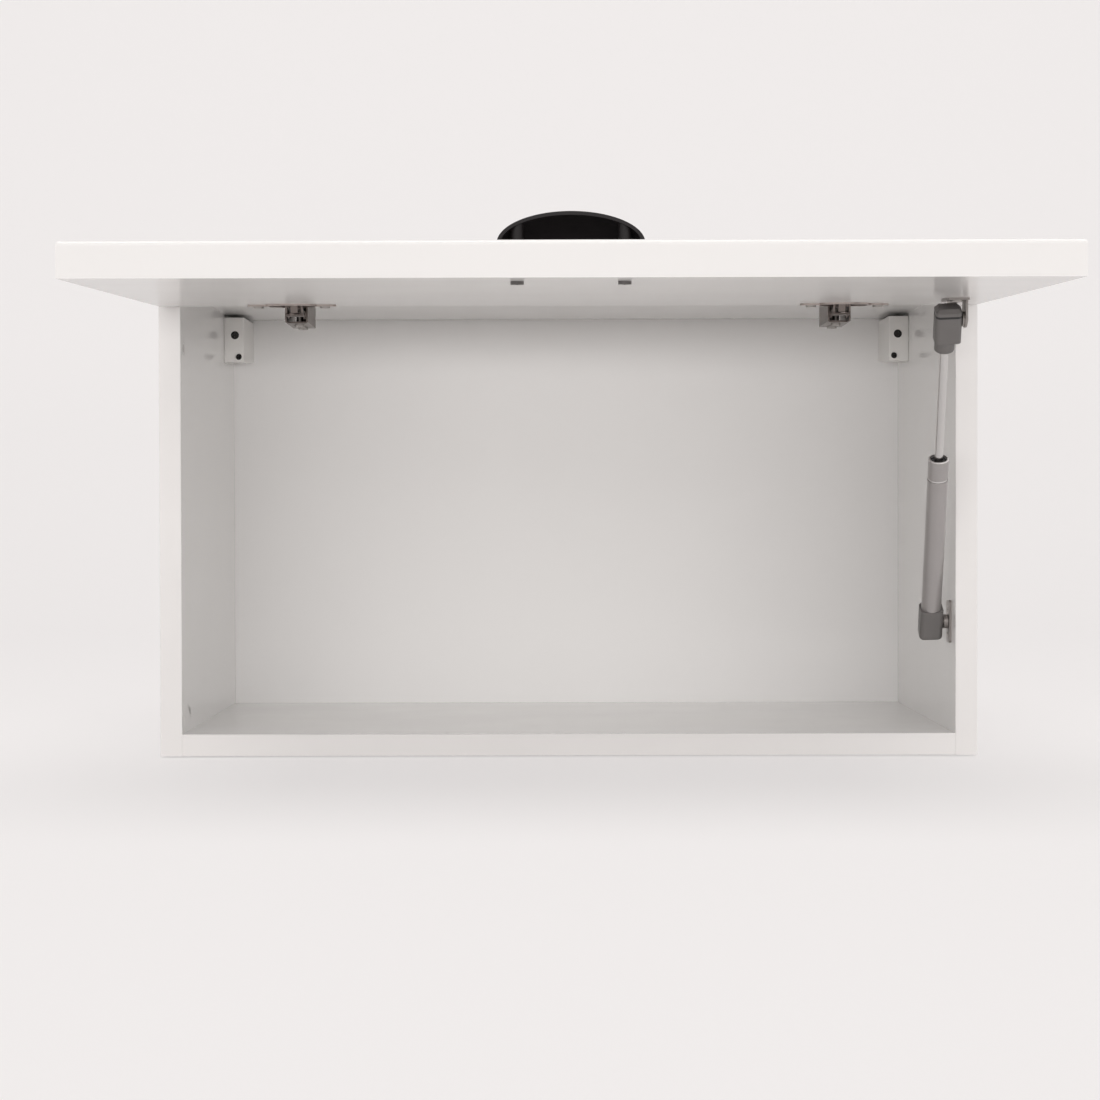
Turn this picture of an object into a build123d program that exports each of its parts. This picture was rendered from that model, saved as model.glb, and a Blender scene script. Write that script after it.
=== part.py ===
from build123d import *
from math import atan2, cos, degrees, hypot, radians, sin
import os

os.makedirs("parts", exist_ok=True)

# Wall cabinet with a lift-up flap.
# X runs to the right, Y into the cabinet and Z up. The origin is the middle of the underside,
# and the flap stands open as far as its gas strut lets it go.

# Carcass of melamine board
width = 600.0
depth = 300.0
height = 360.0
board = 16.0
band = 0.8
band_round = 0.5
back_thickness = 3.0
back_setback = 10.0
groove_depth = 8.0
groove_play = 0.1
groove_end_gap = 0.5
front = -depth / 2
inner_half = width / 2 - board
ceiling = height - board
back_face = front + depth - back_setback - back_thickness
back_middle = back_face + back_thickness / 2

# Carcass screws and their caps
screw_shank_r = 2.5
screw_neck_r = 3.5
screw_head_r = 5.0
screw_head = 2.0
screw_length = 50.0
screw_inset = 40.0
cap_thickness = 1.0
key_r = 2.0
key_depth = 2.0

# Cross recess of the small screws
recess_length = 4.2
recess_width = 1.0
recess_depth = 1.1

# Flap door
flap_gap = 1.5
flap_side_reveal = 2.0
flap_top_reveal = 1.5
flap_foot_reveal = 2.5
flap_width = width - 2 * flap_side_reveal
flap_length = height - flap_top_reveal - flap_foot_reveal
flap_thickness = 22.0
flap_edge_round = 3.0
flap_open_angle = 87.5
frame_rail = 68.0
frame_corner = 14.0
frame_groove = 9.0
frame_groove_depth = 3.5

# Where the hinge edge of the open flap's inner face comes to rest
open_ahead = 6.0
open_drop = 30.5
open_y = front - open_ahead
open_z = height - open_drop

# Concealed cup hinges
hinge_inset = 85.0
hinge_x = inner_half - hinge_inset
cup_r = 17.5
cup_wall = 0.8
cup_depth = 11.4
cup_setback = 21.5
flange_length = 64.0
flange_width = 13.0
flange_thickness = 1.2
flange_rim = 2.0
flange_screw_spacing = 48.0
cup_screw_r = 1.75
cup_screw_length = 11.0
cup_screw_head_r = 3.6
cup_screw_head = 1.3
arm_width = 16.6
arm_metal = 1.2
arm_round = 2.0
arm_set_back = 1.2
arm_reach = 58.0
arm_slope_back = 14.0
arm_cover_back = 11.0
arm_clear = 4.5
arm_drop = 25.5
arm_back = front + arm_reach
arm_cheek_front = front + arm_set_back
arm_cheek_slope = front + arm_slope_back
arm_cover_front = front + arm_cover_back
arm_bottom = ceiling - arm_drop
arm_top = ceiling - arm_clear
arm_pin_edge = 3.0
arm_screw_back = 24.0
arm_screw_spacing = 24.0
arm_screw_rows = (front + arm_screw_back, front + arm_screw_back + arm_screw_spacing)
arm_screw_r = 2.5
arm_screw_head_r = 3.6
arm_screw_head = 1.8
plate_thickness = 2.0
plate_wing_span = 50.0
plate_wing_width = 13.0
plate_wing_back = 37.0
plate_pad_back = 16.0
plate_wing_y = front + plate_wing_back
plate_pad_front = front + plate_pad_back
plate_pad_drop = 7.0
plate_screw_spacing = 32.0
plate_screw_head_r = 4.2
plate_screw_head = 1.6
plate_screw_r = 2.5
plate_screw_length = 12.0

# Hinge pivots: how far along the flap, how deep in it, and how far behind the front edge
pin_r = 1.2
pin_play = 0.05
inner_pivot_along = 9.0
inner_pivot_deep = 3.0
outer_pivot_along = 12.0
outer_pivot_deep = 7.0
arm_pin_back = 5.0
lug_outside = 4.6
lug_thickness = 1.7
lug_root = 4.0
outer_pin_inside = 4.8
eye_r = 2.3
link_thickness = 2.4
inner_link_width = 5.0
outer_link_width = 12.6
outer_link_metal = 1.2
outer_slot_travel = 3.3
outer_slot_rise = 0.5
outer_slot_edge = 1.1
outer_web_gap = 0.5
inner_bends = [(front - 2.0, ceiling - 17.5), (front - 12.6, ceiling - 19.0)]
outer_bends = [(front - 2.6, ceiling - 18.9), (front - 12.4, ceiling - 18.9)]

# Cabinet hangers in the upper rear corners
hanger_width = 16.6
hanger_length = 61.0
hanger_drop = 3.0
hanger_height = 33.0
hanger_boss = 4.0
hanger_boss_length = 16.0
hanger_wall = 1.8
hanger_nose = 9.0
hanger_round = 1.0
depth_screw_r = 3.4
depth_screw_head = 3.0
depth_screw_shank_r = 2.8
depth_screw_side = 9.0
depth_screw_drop = 17.5
depth_screw_up = ceiling - depth_screw_drop
depth_screw_sunk = 0.6
height_screw_r = 2.6
height_screw_side = 12.0
height_screw_drop = 35.4
height_screw_up = ceiling - height_screw_drop
height_screw_sunk = 3.0
height_screw_length = 14.0
hook_metal = 2.0
hook_width = 10.0
hook_reach = 8.4
hook_lip = 14.0
hook_drop = 12.0
hook_up = ceiling - hook_drop
hook_block = 12.0
hook_block_gap = 6.0
hook_play = 1.0
window_height = 26.0
window_above = 4.0

# Cup handle on the flap
handle_screw_spacing = 64.0
handle_setback = 39.0
handle_mouth = 6.0
handle_half_width = 44.0
handle_projection = 19.0
handle_run = 30.0
handle_wall = 2.2
handle_post_r = 4.0
handle_screw_r = 2.0
handle_screw_grip = 8.0
handle_screw_head_r = 4.0
handle_screw_head = 2.0

# Gas strut
strut_low_inset = 14.5
strut_low_back = 24.0
strut_low_up = 97.0
strut_low = Vector(inner_half - strut_low_inset, front + strut_low_back, strut_low_up)
strut_high_inset = 24.0
strut_high_x = inner_half - strut_high_inset
strut_high_along = 94.0
strut_high_drop = 14.0
ball_r = 4.0
ball_play = 0.05
stud_neck_r = 2.35
stud_collar_r = 5.2
high_collar = 1.5
low_collar = 3.0
stud_seat_gap = 0.45
rivet_r = 3.3
rivet_head = 0.8
neck_opening = 1.0
end_round = 3.5
end_thickness = 15.0
high_end_left = 7.6
high_end_right = 10.6
high_end_cap = 9.5
high_end_bevel = 2.6
high_end_tail = 16.0
high_end_neck_r = 7.0
high_end_neck = 8.4
high_end_neck_round = 2.0
clip_up = 3.0
clip_height = 1.6
clip_metal = 1.2
low_end_width = 17.0
low_end_above = 12.0
low_end_below = 13.0
low_end_round = 3.0
rod_r = 3.0
rod_grip = 8.0
tube_r = 7.35
tube_wall = 1.2
tube_length = 126.0
tube_floor = 2.0
tube_rim_round = 0.5
tube_stub_r = 3.0
tube_stub = 6.0
crimp_down = 17.0
crimp_width = 1.6
crimp_depth = 0.4
guide_set = 2.0
guide_length = 14.0
slide_play = 0.05
piston_gap = 2.0
piston_length = 8.0
strut_screw_r = 1.9
strut_screw_length = 12.0
strut_screw_head_r = 3.4
strut_screw_head = 1.4
side_plate_length = 31.4
side_plate_width = 13.0
side_plate_thickness = 1.6
side_plate_round = 2.5
side_screw_spacing = 17.5
bracket_thickness = 1.6
bracket_leg_gap = 12.6
bracket_leg = 20.0
bracket_leg_width = 14.5
bracket_length = 30.0
bracket_base = 15.0
bracket_round = 2.0
bracket_screw_shift = 6.0
bracket_screw_x = strut_high_x + bracket_screw_shift
bracket_screw_spacing = 18.0


# The flap's own frame: X along the hinge edge, -Y towards the free edge and Z out of its front
tilt = radians(90.0 - flap_open_angle)
flap_frame = Plane(origin=(0, open_y, open_z), x_dir=(1, 0, 0), z_dir=(0, -sin(tilt), cos(tilt)))
flap_out = flap_frame.z_dir


def on_flap(x, along, deep):
    """A point of the open flap: along from the hinge edge, and deep from the inner face."""
    return flap_frame.from_local_coords(Vector(x, -along, deep))


def on_shut_flap(along, deep):
    """The same point, in the middle, with the flap shut against the carcass."""
    return Vector(0, front - flap_gap - deep, height - flap_top_reveal - along)


def flap_face(x, along, deep=0.0):
    """A sketch plane on the flap that faces out of its front."""
    return Plane(origin=on_flap(x, along, deep), x_dir=(1, 0, 0), z_dir=flap_out)


def flap_back(x, along, deep=0.0):
    """A sketch plane on the flap that faces out of its inner face."""
    return Plane(origin=on_flap(x, along, deep), x_dir=(1, 0, 0), z_dir=-flap_out)


def arm_pin(along, deep):
    """The pin of the hinge arm from which one link reaches its cup pin, open and shut."""
    opened = on_flap(0, along, deep)
    run = on_shut_flap(along, deep) - opened
    middle = opened + run * 0.5
    pin_y = front + arm_pin_back
    return Vector(0, pin_y, middle.Z - run.Y * (pin_y - middle.Y) / run.Z)


def drill(face, spots, radius, length):
    """Drill round holes into a face, against its normal."""
    with BuildSketch(face) as rounds:
        with Locations(*spots):
            Circle(radius)
    extrude(rounds.sketch, amount=-length, mode=Mode.SUBTRACT)


def add_rods(face, spots, radius, length):
    """Stand round rods on a face, along its normal or, with a negative length, against it."""
    with BuildSketch(face) as rounds:
        with Locations(*spots):
            Circle(radius)
    extrude(rounds.sketch, amount=length)


def cut_recess(face, spots):
    """Press the cross recess for a screwdriver into screw heads."""
    with BuildSketch(face) as crosses:
        with Locations(*spots):
            Rectangle(recess_length, recess_width)
            Rectangle(recess_width, recess_length)
    extrude(crosses.sketch, amount=-recess_depth, mode=Mode.SUBTRACT)


def add_screws(face, spots, head_r, head, shank_r, length):
    """Drive pan-head screws into a face: heads stand out of it and shanks run in."""
    add_rods(face, spots, head_r, head)
    add_rods(face, spots, shank_r, -length)
    cut_recess(face.offset(head), spots)


def finish(piece, name):
    """Name a finished piece and write its file."""
    piece.part.label = name
    export_step(piece.part, f"parts/{name}.step")


# Side panels: full height, grooved for the back, drilled for the carcass screws
screw_spots = [
    (row, level)
    for row in (front + screw_inset, front + depth - back_setback - screw_inset)
    for level in (board / 2, height - board / 2)
]
side_screw_spots = [
    (strut_low.Y, strut_low.Z + end * side_screw_spacing / 2) for end in (-1, 1)
]
sides = ((-1, "left"), (1, "right"))
for side, side_name in sides:
    outer_side = Plane(origin=(side * width / 2, 0, 0), x_dir=(0, side, 0), z_dir=(side, 0, 0))
    outer_spots = [(side * row, level) for row, level in screw_spots]
    with BuildPart() as side_panel:
        with BuildSketch(outer_side):
            with Locations((side * band / 2, height / 2)):
                Rectangle(depth - band, height)
        extrude(amount=-board)
        with BuildSketch(outer_side.offset(-board)):
            with Locations((side * back_middle, height / 2)):
                Rectangle(back_thickness + 2 * groove_play, height - 2 * (board - groove_depth))
        extrude(amount=groove_depth, mode=Mode.SUBTRACT)
        drill(outer_side, outer_spots, screw_neck_r, board)
        drill(outer_side, outer_spots, screw_head_r, cap_thickness + screw_head)
        if side > 0:
            drill(
                Plane.YZ.offset(inner_half),
                side_screw_spots,
                strut_screw_r,
                side_plate_thickness - strut_screw_length,
            )
    finish(side_panel, f"side_panel_{side_name}")

    with BuildPart() as side_band:
        with BuildSketch(outer_side):
            with Locations((side * (front + band / 2), height / 2)):
                Rectangle(band, height)
        extrude(amount=-board)
        fillet(side_band.edges().filter_by(Axis.Z).group_by(Axis.Y)[0], radius=band_round)
    finish(side_band, f"edge_band_{side_name}")


# Top and bottom panels between the sides, each grooved for the back
thread_depth = cap_thickness + screw_length - board
plate_screw_spots = [
    (side * hinge_x + end * plate_screw_spacing / 2, plate_wing_y)
    for side in (-1, 1)
    for end in (-1, 1)
]
for low_face, groove_floor, name in (
    (ceiling, ceiling, "top"),
    (0.0, board - groove_depth, "bottom"),
):
    with BuildPart() as level_panel:
        with BuildSketch(Plane.XY.offset(low_face)):
            with Locations((0, band / 2)):
                Rectangle(2 * inner_half, depth - band)
        extrude(amount=board)
        with BuildSketch(Plane.XY.offset(groove_floor)):
            with Locations((0, back_middle)):
                Rectangle(2 * inner_half, back_thickness + 2 * groove_play)
        extrude(amount=groove_depth, mode=Mode.SUBTRACT)
        end_spots = [(row, level) for row, level in screw_spots if low_face < level < low_face + board]
        for side in (-1, 1):
            drill(Plane.YZ.offset(side * inner_half), end_spots, screw_shank_r, side * thread_depth)
        if low_face == ceiling:
            drill(
                Plane.XY.offset(ceiling),
                plate_screw_spots,
                plate_screw_r,
                plate_thickness - plate_screw_length,
            )
    finish(level_panel, f"{name}_panel")

    with BuildPart() as level_band:
        with BuildSketch(Plane.XY.offset(low_face)):
            with Locations((0, front + band / 2)):
                Rectangle(2 * inner_half, band)
        extrude(amount=board)
        fillet(level_band.edges().filter_by(Axis.X).group_by(Axis.Y)[0], radius=band_round)
    finish(level_band, f"edge_band_{name}")


# Back panel: thin board in the grooves, cut through where the hanger hooks reach the wall
back_tongue = groove_depth - groove_end_gap
window_top = hook_up + hook_metal + window_above
hanger_middle = inner_half - hanger_width / 2
with BuildPart() as back_panel:
    with BuildSketch(Plane.XZ.offset(-back_face)):
        with Locations((0, (board + ceiling) / 2)):
            Rectangle(2 * (inner_half + back_tongue), ceiling - board + 2 * back_tongue)
        with Locations(*[(side * hanger_middle, window_top - window_height / 2) for side in (-1, 1)]):
            Rectangle(hanger_width - 2 * hanger_wall, window_height, mode=Mode.SUBTRACT)
    extrude(amount=-back_thickness)
finish(back_panel, "back_panel")


# Carcass screws with a hexagon socket, and the white caps that close their heads
with BuildPart() as carcass_screws:
    for side in (-1, 1):
        head_face = Plane.YZ.offset(side * (width / 2 - cap_thickness))
        add_rods(head_face, screw_spots, screw_head_r, -side * screw_head)
        add_rods(head_face, screw_spots, screw_neck_r, -side * (board - cap_thickness))
        add_rods(head_face, screw_spots, screw_shank_r, -side * screw_length)
        with BuildSketch(head_face):
            with Locations(*screw_spots):
                RegularPolygon(key_r, 6)
        extrude(amount=-side * key_depth, mode=Mode.SUBTRACT)
finish(carcass_screws, "carcass_screws")

with BuildPart() as screw_caps:
    for side in (-1, 1):
        add_rods(Plane.YZ.offset(side * width / 2), screw_spots, screw_head_r, -side * cap_thickness)
finish(screw_caps, "screw_caps")


# Cabinet hangers: a housing in each upper rear corner with a hook that reaches through the back
hanger_front = back_face - hanger_length
hanger_top = ceiling - hanger_drop
hanger_floor = hanger_top - hanger_height
hanger_bottom = hanger_floor - hanger_boss
cavity_top = hanger_top - hanger_wall
cavity_floor = height_screw_up + height_screw_r + hanger_wall
cavity_front = hanger_front + hanger_nose
hook_tail = cavity_front + hook_block_gap
hook_top = hook_up + hook_metal
hook_tip = back_face + back_thickness + hook_reach
hanger_face = Plane.XZ.offset(-hanger_front)
depth_spots = [(side * (inner_half - depth_screw_side), depth_screw_up) for side in (-1, 1)]
height_spots = [(side * (inner_half - height_screw_side), height_screw_up) for side in (-1, 1)]
for (side, side_name), depth_spot, height_spot in zip(sides, depth_spots, height_spots):
    with BuildPart() as hanger_housing:
        with BuildSketch(Plane.YZ.offset(side * hanger_middle)):
            with BuildLine():
                Polyline(
                    (hanger_front, hanger_top),
                    (back_face, hanger_top),
                    (back_face, hanger_floor),
                    (hanger_front + hanger_boss_length, hanger_bottom),
                    (hanger_front, hanger_bottom),
                    close=True,
                )
            make_face()
        extrude(amount=hanger_width / 2, both=True)
        fillet(hanger_housing.edges().filter_by(Axis.Z).group_by(Axis.Y)[0], radius=hanger_round)
        with BuildSketch(Plane.YZ.offset(side * hanger_middle)):
            with Locations(((cavity_front + back_face) / 2, (cavity_floor + cavity_top) / 2)):
                Rectangle(back_face - cavity_front, cavity_top - cavity_floor)
        extrude(amount=hanger_width / 2 - hanger_wall, both=True, mode=Mode.SUBTRACT)
        drill(hanger_face, [depth_spot], depth_screw_r, hanger_nose)
        drill(hanger_face, [height_spot], height_screw_r, height_screw_sunk + height_screw_length)
    finish(hanger_housing, f"hanger_housing_{side_name}")

    with BuildPart() as hanger_hook:
        with BuildSketch(Plane.YZ.offset(side * hanger_middle)):
            with BuildLine():
                Polyline(
                    (hook_tail, hook_top),
                    (hook_tip, hook_top),
                    (hook_tip, hook_top - hook_lip),
                    (hook_tip - hook_metal, hook_top - hook_lip),
                    (hook_tip - hook_metal, hook_up),
                    (hook_tail + hook_block, hook_up),
                    (hook_tail + hook_block, cavity_floor + hook_play),
                    (hook_tail, cavity_floor + hook_play),
                    close=True,
                )
            make_face()
        extrude(amount=hook_width / 2, both=True)
        drill(Plane.XZ.offset(-hook_tail), [depth_spot], depth_screw_shank_r, hook_block)
    finish(hanger_hook, f"hanger_hook_{side_name}")

with BuildPart() as hanger_depth_screws:
    depth_head_face = hanger_face.offset(-depth_screw_sunk)
    depth_screw_end = hook_tail + hook_block - hanger_front - depth_screw_sunk
    add_rods(depth_head_face, depth_spots, depth_screw_r, -depth_screw_head)
    add_rods(depth_head_face, depth_spots, depth_screw_shank_r, -depth_screw_end)
    cut_recess(depth_head_face, depth_spots)
finish(hanger_depth_screws, "hanger_depth_screws")

with BuildPart() as hanger_height_screws:
    height_head_face = hanger_face.offset(-height_screw_sunk)
    add_rods(height_head_face, height_spots, height_screw_r, -height_screw_length)
    cut_recess(height_head_face, height_spots)
finish(hanger_height_screws, "hanger_height_screws")


# Hinge mounting plates under the top panel, with their two screws each
underside = Plane.XY.offset(ceiling)
for side, side_name in sides:
    middle = side * hinge_x
    with BuildPart() as hinge_plate:
        with BuildSketch(underside):
            with Locations((middle, plate_wing_y)):
                SlotOverall(plate_wing_span, plate_wing_width)
        extrude(amount=-plate_thickness)
        with BuildSketch(underside):
            with Locations((middle, (plate_pad_front + arm_back) / 2)):
                Rectangle(arm_width - 2 * arm_metal, arm_back - plate_pad_front)
        extrude(amount=-plate_pad_drop)
        drill(underside, [spot for spot in plate_screw_spots if side * spot[0] > 0], plate_screw_r,
              plate_thickness)
        drill(underside, [(middle, row) for row in arm_screw_rows], arm_screw_r, plate_pad_drop)
    finish(hinge_plate, f"hinge_plate_{side_name}")

with BuildPart() as hinge_plate_screws:
    wing_face = Plane(origin=(0, 0, ceiling - plate_thickness), x_dir=(1, 0, 0), z_dir=(0, 0, -1))
    add_screws(
        wing_face,
        [(x, -y) for x, y in plate_screw_spots],
        plate_screw_head_r,
        plate_screw_head,
        plate_screw_r,
        plate_screw_length,
    )
finish(hinge_plate_screws, "hinge_plate_screws")


# Hinge arms: pressed channels, open towards the top panel, that carry the two arm pins
inner_cup_pin = on_flap(0, inner_pivot_along, inner_pivot_deep)
inner_arm_pin = arm_pin(inner_pivot_along, inner_pivot_deep)
outer_cup_pin = on_flap(0, outer_pivot_along, outer_pivot_deep)
outer_arm_pin = arm_pin(outer_pivot_along, outer_pivot_deep)
arm_pin_spots = [(pin.Y, pin.Z) for pin in (inner_arm_pin, outer_arm_pin)]
arm_web_top = arm_bottom + arm_metal
for side, side_name in sides:
    middle = side * hinge_x
    with BuildPart() as hinge_arm:
        with BuildSketch(Plane.YZ.offset(middle)):
            with BuildLine():
                Polyline(
                    (arm_cheek_front, arm_bottom + arm_round),
                    (arm_cheek_front + arm_round, arm_bottom),
                    (arm_back, arm_bottom),
                    (arm_back, arm_top),
                    (arm_cheek_slope, arm_top),
                    (arm_cheek_front + arm_pin_edge, inner_arm_pin.Z + arm_pin_edge),
                    (arm_cheek_front, inner_arm_pin.Z),
                    close=True,
                )
            make_face()
        extrude(amount=arm_width / 2, both=True)
        with BuildSketch(Plane.YZ.offset(middle)):
            with Locations(((arm_cheek_front + arm_back) / 2, (arm_web_top + arm_top) / 2)):
                Rectangle(arm_back - arm_cheek_front, arm_top - arm_web_top)
            with Locations(((arm_cheek_front + arm_cover_front) / 2, arm_bottom + arm_metal / 2)):
                Rectangle(arm_cover_front - arm_cheek_front, arm_metal)
        extrude(amount=arm_width / 2 - arm_metal, both=True, mode=Mode.SUBTRACT)
        drill(Plane.YZ.offset(middle + arm_width / 2), arm_pin_spots, pin_r, arm_width)
        drill(Plane.XY.offset(arm_web_top), [(middle, row) for row in arm_screw_rows], arm_screw_r,
              arm_metal)
    finish(hinge_arm, f"hinge_arm_{side_name}")

with BuildPart() as hinge_arm_screws:
    web_face = Plane(origin=(0, 0, arm_bottom), x_dir=(1, 0, 0), z_dir=(0, 0, -1))
    add_screws(
        web_face,
        [(side * hinge_x, -row) for side in (-1, 1) for row in arm_screw_rows],
        arm_screw_head_r,
        arm_screw_head,
        arm_screw_r,
        ceiling - arm_bottom,
    )
finish(hinge_arm_screws, "hinge_arm_screws")

with BuildPart() as hinge_arm_pins:
    for side in (-1, 1):
        add_rods(Plane.YZ.offset(side * hinge_x - arm_width / 2), arm_pin_spots, pin_r, arm_width)
finish(hinge_arm_pins, "hinge_arm_pins")


# Hinge links: pressed steel, bent to pass below the flap's edge and round the top panel's edge
def link_outline(stops):
    """Sketch a link of even thickness along its stops, with an eye at each end."""
    for (y0, z0), (y1, z1) in zip(stops[:-1], stops[1:]):
        with Locations(((y0 + y1) / 2, (z0 + z1) / 2)):
            Rectangle(
                hypot(y1 - y0, z1 - z0), link_thickness, rotation=degrees(atan2(z1 - z0, y1 - y0))
            )
    with Locations(*stops[1:-1]):
        Circle(link_thickness / 2)
    with Locations(stops[0], stops[-1]):
        Circle(eye_r)


inner_stops = [arm_pin_spots[0], *inner_bends, (inner_cup_pin.Y, inner_cup_pin.Z)]
outer_stops = [arm_pin_spots[1], *outer_bends, (outer_cup_pin.Y, outer_cup_pin.Z)]
slot_middle = (outer_arm_pin.Y + outer_slot_travel / 2, outer_arm_pin.Z)
slot_r = pin_r + outer_slot_rise
web_top = inner_bends[1][1] - link_thickness / 2 - outer_web_gap
web_low = web_top - outer_link_metal
web_middle = (outer_bends[0][0] + outer_bends[1][0]) / 2
web_run = outer_bends[0][0] - outer_bends[1][0]
for side, side_name in sides:
    middle = side * hinge_x
    with BuildPart() as inner_link:
        with BuildSketch(Plane.YZ.offset(middle)):
            link_outline(inner_stops)
            with Locations(inner_stops[0], inner_stops[-1]):
                Circle(pin_r + pin_play, mode=Mode.SUBTRACT)
        extrude(amount=inner_link_width / 2, both=True)
    finish(inner_link, f"inner_link_{side_name}")

    with BuildPart() as outer_link:
        with BuildSketch(Plane.YZ.offset(middle)):
            link_outline(outer_stops)
            with Locations(slot_middle):
                SlotCenterToCenter(outer_slot_travel, 2 * (slot_r + outer_slot_edge))
            with Locations((web_middle, (web_low + outer_bends[0][1]) / 2)):
                Rectangle(web_run, outer_bends[0][1] - web_low)
            with Locations(slot_middle):
                SlotCenterToCenter(outer_slot_travel, 2 * slot_r, mode=Mode.SUBTRACT)
            with Locations(outer_stops[-1]):
                Circle(pin_r + pin_play, mode=Mode.SUBTRACT)
        extrude(amount=outer_link_width / 2, both=True)
        with BuildSketch(Plane.YZ.offset(middle)):
            with Locations((front, ceiling)):
                Rectangle(depth, height)
            with Locations((web_middle, web_top - outer_link_metal / 2)):
                Rectangle(web_run, outer_link_metal, mode=Mode.SUBTRACT)
        extrude(amount=outer_link_width / 2 - outer_link_metal, both=True, mode=Mode.SUBTRACT)
    finish(outer_link, f"outer_link_{side_name}")


# Flap: a foil-wrapped board, routed in front, drilled behind for the cups and screws
handle_along = flap_length - handle_setback
handle_spots = [(end * handle_screw_spacing / 2, 0) for end in (-1, 1)]
cup_spots = [(side * hinge_x, 0) for side in (-1, 1)]
cup_screw_spots = [
    (side * hinge_x + end * flange_screw_spacing / 2, 0) for side in (-1, 1) for end in (-1, 1)
]
bracket_spots = [(0, end * bracket_screw_spacing / 2) for end in (-1, 1)]
with BuildPart() as flap_panel:
    with BuildSketch(flap_face(0, flap_length / 2)):
        Rectangle(flap_width, flap_length)
    extrude(amount=flap_thickness)
    flap_front = flap_panel.faces().sort_by(Axis(flap_frame.origin, flap_out))[-1]
    fillet(flap_front.edges(), radius=flap_edge_round)
    with BuildSketch(flap_face(0, flap_length / 2, flap_thickness)):
        RectangleRounded(flap_width - 2 * frame_rail, flap_length - 2 * frame_rail, frame_corner)
        RectangleRounded(
            flap_width - 2 * (frame_rail + frame_groove),
            flap_length - 2 * (frame_rail + frame_groove),
            frame_corner - frame_groove,
            mode=Mode.SUBTRACT,
        )
    extrude(amount=-frame_groove_depth, mode=Mode.SUBTRACT)
    drill(flap_back(0, cup_setback), cup_spots, cup_r, cup_depth)
    drill(flap_back(0, cup_setback), cup_screw_spots, cup_screw_r, cup_screw_length - flange_thickness)
    drill(flap_back(0, handle_along), handle_spots, handle_screw_r, flap_thickness)
    drill(
        flap_back(bracket_screw_x, strut_high_along),
        bracket_spots,
        strut_screw_r,
        strut_screw_length - bracket_thickness,
    )
finish(flap_panel, "flap_panel")


# Hinge cups pressed into the flap, with their flanges, screws and pins. The inner pin is short and
# held by two lugs between the links. The outer one is two stubs, so the inner link can pass them.
outer_pin_half = (cup_r**2 - (cup_setback - outer_pivot_along + pin_r) ** 2) ** 0.5 - pin_play
cup_pins = ((inner_cup_pin, lug_outside), (outer_cup_pin, outer_pin_half))
for side, side_name in sides:
    middle = side * hinge_x
    flange_face = flap_back(middle, cup_setback, -flange_thickness)
    with BuildPart() as hinge_cup:
        with BuildSketch(flap_back(middle, cup_setback)):
            SlotOverall(flange_length, flange_width)
            Circle(cup_r + flange_rim)
        extrude(amount=flange_thickness)
        with BuildSketch(flap_face(middle, cup_setback)):
            Circle(cup_r)
        extrude(amount=cup_depth)
        drill(flange_face, [(0, 0)], cup_r - cup_wall, flange_thickness + cup_depth - cup_wall)
        drill(
            flange_face,
            [(end * flange_screw_spacing / 2, 0) for end in (-1, 1)],
            cup_screw_r,
            flange_thickness,
        )
        lug_plane = Plane(
            origin=on_flap(middle, inner_pivot_along, inner_pivot_deep),
            x_dir=flap_frame.y_dir,
            z_dir=(1, 0, 0),
        )
        for lug_side in (-1, 1):
            with BuildSketch(lug_plane.offset(lug_side * lug_outside)):
                Circle(eye_r)
                with Locations((lug_root / 2, 0)):
                    Rectangle(lug_root, 2 * eye_r)
            extrude(amount=-lug_side * lug_thickness)
        for pin, half in cup_pins:
            drill(Plane.YZ.offset(middle + half), [(pin.Y, pin.Z)], pin_r, 2 * half)
    finish(hinge_cup, f"hinge_cup_{side_name}")

with BuildPart() as hinge_cup_screws:
    add_screws(
        flap_back(0, cup_setback, -flange_thickness),
        cup_screw_spots,
        cup_screw_head_r,
        cup_screw_head,
        cup_screw_r,
        cup_screw_length,
    )
finish(hinge_cup_screws, "hinge_cup_screws")

with BuildPart() as hinge_cup_pins:
    stub = outer_pin_half - outer_pin_inside
    for side in (-1, 1):
        for end in (-1, 1):
            inner_end = Plane.YZ.offset(side * hinge_x + end * lug_outside)
            outer_end = Plane.YZ.offset(side * hinge_x + end * outer_pin_inside)
            add_rods(inner_end, [(inner_cup_pin.Y, inner_cup_pin.Z)], pin_r, -end * lug_outside)
            add_rods(outer_end, [(outer_cup_pin.Y, outer_cup_pin.Z)], pin_r, end * stub)
finish(hinge_cup_pins, "hinge_cup_pins")


# Cup handle: a hollow quarter dome on the flap's front, open towards the free edge
with BuildPart() as outer_dome:
    Sphere(handle_projection)
    scale(by=(handle_half_width / handle_projection, handle_run / handle_projection, 1))

inside_projection = handle_projection - handle_wall
inside_half_width = handle_half_width - handle_wall
inside_run = handle_run - handle_wall
with BuildPart() as inner_dome:
    Sphere(inside_projection)
    scale(by=(inside_half_width / inside_projection, inside_run / inside_projection, 1))

post_spots = [(x, handle_mouth) for x, _ in handle_spots]
with BuildPart() as handle_posts:
    add_rods(Plane.XY, post_spots, handle_post_r, handle_projection)
    add(outer_dome.part, mode=Mode.INTERSECT)
    drill(Plane.XY.offset(handle_screw_grip), post_spots, handle_screw_r, handle_screw_grip)

with BuildPart() as handle_dome:
    add(outer_dome.part)
    add(inner_dome.part, mode=Mode.SUBTRACT)
    with BuildSketch(Plane.XY):
        with Locations((0, handle_run / 2)):
            Rectangle(2 * handle_half_width, handle_run)
    extrude(amount=handle_projection, mode=Mode.INTERSECT)
    add(handle_posts.part)

with BuildPart() as cup_handle:
    mouth_base = flap_face(0, handle_along + handle_mouth, flap_thickness)
    add(handle_dome.part.moved(mouth_base.location))
finish(cup_handle, "cup_handle")

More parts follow.
